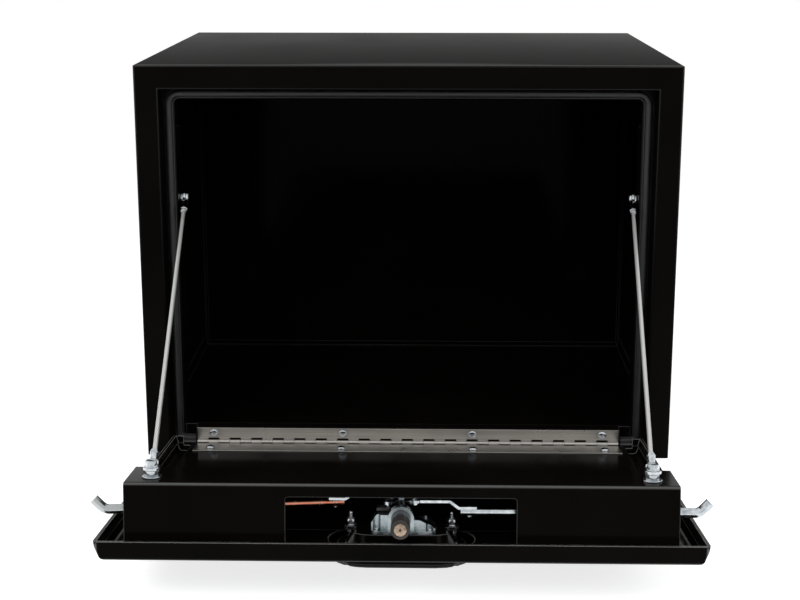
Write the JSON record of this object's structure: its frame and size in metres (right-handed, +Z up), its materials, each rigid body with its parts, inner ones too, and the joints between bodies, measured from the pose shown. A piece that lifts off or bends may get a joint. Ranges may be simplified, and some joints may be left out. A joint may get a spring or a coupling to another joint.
{
  "type": "underbody truck tool box",
  "caption": "Black folded-steel underbody tool box, drop-down door open on two stay cables, piano hinge, bulb seal and T-handle latch throwing bolts to sides and top.",
  "frame": {"origin": "centre of the case's base face", "axes": "+Z up, the door opens towards -Y, +X to the right seen from the front"},
  "size_m": [0.6096, 0.8669, 0.4572],
  "materials": {
    "black_powder_coat": "glossy black powder coat",
    "seal_rubber": "black rubber",
    "stainless": "brushed stainless",
    "zinc_plate": "bright zinc plate",
    "zinc_casting": "bare zinc die casting",
    "handle_chrome": "satin chrome plate",
    "bolt_black": "black oxide",
    "bolt_brass": "pale turned brass",
    "nylon": "black nylon",
    "cable_coating": "clear coated wire rope"
  },
  "bodies": {
    "root": {"body_shell": "black_powder_coat", "floor_pan": "black_powder_coat", "back_panel": "black_powder_coat", "door_seal": "seal_rubber", "hinge_box_leaf": "stainless", "hinge_pin": "stainless", "box_hinge_rivets": "stainless", "cable_anchor_bolts": "zinc_plate", "cable_anchor_washers": "zinc_plate", "cable_anchor_nuts": "zinc_plate", "cable_upper_ferrules": "zinc_plate", "cable_left": "cable_coating", "cable_right": "cable_coating"},
    "door": {"door_skin": "black_powder_coat", "door_inner_panel": "black_powder_coat", "latch_channel": "black_powder_coat", "hinge_door_leaf": "stainless", "door_hinge_bolts": "stainless", "door_hinge_nuts": "zinc_plate", "cable_door_bolts": "zinc_plate", "cable_door_washers": "zinc_plate", "cable_door_nuts": "zinc_plate", "cable_lower_ferrules": "zinc_plate", "handle_dish": "black_powder_coat", "dish_gasket": "seal_rubber", "dish_screws": "zinc_plate", "dish_studs": "zinc_plate", "dish_washers": "zinc_plate", "dish_nuts": "zinc_plate", "latch_housing": "zinc_casting", "housing_screws": "zinc_plate", "rod_guide_left": "nylon", "rod_guide_right": "nylon"},
    "handle": {"t_handle": "handle_chrome", "lever_plate": "zinc_plate", "spindle_nut": "zinc_plate", "pin_clips": "zinc_plate", "lock_cylinder": "handle_chrome"},
    "lock_plug": {"lock_plug": "handle_chrome"},
    "rod_left": {"rod_left": "zinc_plate", "rod_link_left": "zinc_plate", "link_rivet_left": "zinc_plate"},
    "rod_right": {"rod_right": "zinc_plate", "rod_link_right": "zinc_plate", "link_rivet_right": "zinc_plate"},
    "centre_bolt": {"centre_bolt_sleeve": "bolt_black", "centre_bolt_core": "bolt_brass"}
  },
  "joints": [
    {"name": "door_hinge", "type": "hinge", "parent": "root", "child": "door", "pos_m": [0, -0.2166, 0.0125], "axis": [1, 0, 0], "range_deg": [-82.7, 0], "deforming": ["cable_left", "cable_right"]},
    {"name": "handle_turn", "type": "hinge", "parent": "door", "child": "handle", "pos_m": [0, -0.57765, 0.05875], "axis": [0, -0.1271, -0.9919], "range_deg": [0, 90]},
    {"name": "key_turn", "type": "hinge", "parent": "handle", "child": "lock_plug", "pos_m": [0, -0.57765, 0.05875], "axis": [0, -0.1271, -0.9919], "range_deg": [0, 90]},
    {"name": "rod_left_slide", "type": "slide", "parent": "door", "child": "rod_left", "axis": [0.9893, 0.145, -0.0186], "range_m": [0, 0.024]},
    {"name": "rod_right_slide", "type": "slide", "parent": "door", "child": "rod_right", "axis": [-1, 0, 0], "range_m": [0, 0.024]},
    {"name": "centre_bolt_slide", "type": "slide", "parent": "door", "child": "centre_bolt", "axis": [0, 0.9919, -0.1271], "range_m": [0, 0.024]}
  ],
  "couplings": [
    {"joint": "rod_left_slide", "follows": "handle_turn", "m_per_rad": 0.015279},
    {"joint": "rod_right_slide", "follows": "handle_turn", "m_per_rad": 0.015279},
    {"joint": "centre_bolt_slide", "follows": "handle_turn", "m_per_rad": 0.015279}
  ]
}
